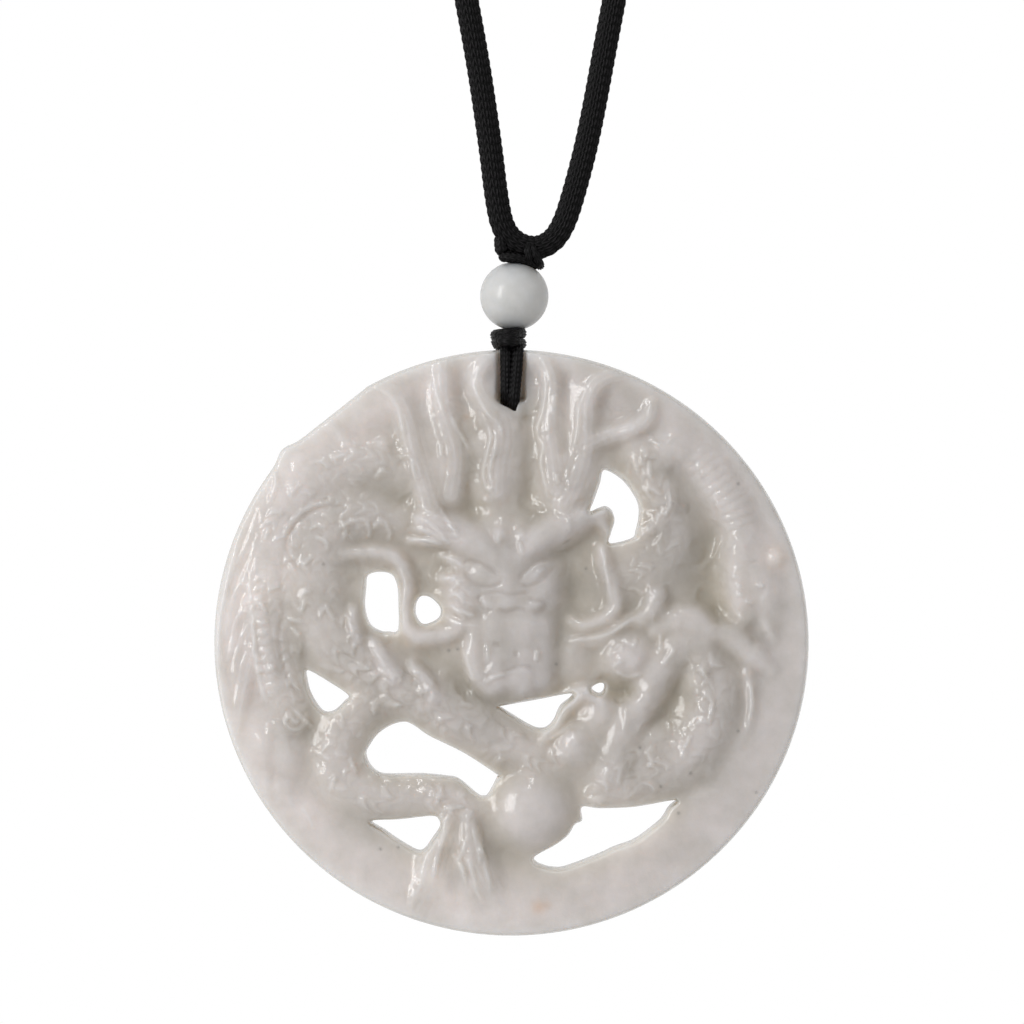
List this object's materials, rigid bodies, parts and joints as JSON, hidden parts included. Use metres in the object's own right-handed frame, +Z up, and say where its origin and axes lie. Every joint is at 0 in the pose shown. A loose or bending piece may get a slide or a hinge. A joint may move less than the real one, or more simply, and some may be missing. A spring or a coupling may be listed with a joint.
{
  "type": "carved jade dragon pendant on a braided neck cord",
  "caption": "Round pierced jade pendant carved with a dragon and a pearl, hung with a jade bead on a braided neck cord.",
  "frame": {"origin": "where the neck cord rests on the nape: the front of the plain sleeve that joins the cord's two ends", "axes": "+Z up, +X to the viewer's right of the picture, -Y out of the pendant's carved front"},
  "size_m": [0.117, 0.1218, 0.3138],
  "materials": {
    "jade": "polished stone, slightly translucent",
    "bead_jade": "polished stone",
    "braided_cord": "braided nylon with a slight sheen",
    "thin_cord": "waxed cord with a slight sheen"
  },
  "bodies": {
    "holder": {"neck_cord": "braided_cord", "nape_knot": "braided_cord", "hitch": "thin_cord", "bead": "bead_jade", "bead_thread": "thin_cord", "lower_knot": "thin_cord", "loop_strand_left": "thin_cord", "loop_strand_right": "thin_cord"},
    "drop": {"jade_disc": "jade"}
  },
  "joints": [
    {"name": "pendant_swing", "type": "hinge", "parent": "holder", "child": "drop", "pos_m": [0, -0.11125, -0.2608], "axis": [1, 0, 0], "range_deg": [-8, 8]}
  ]
}
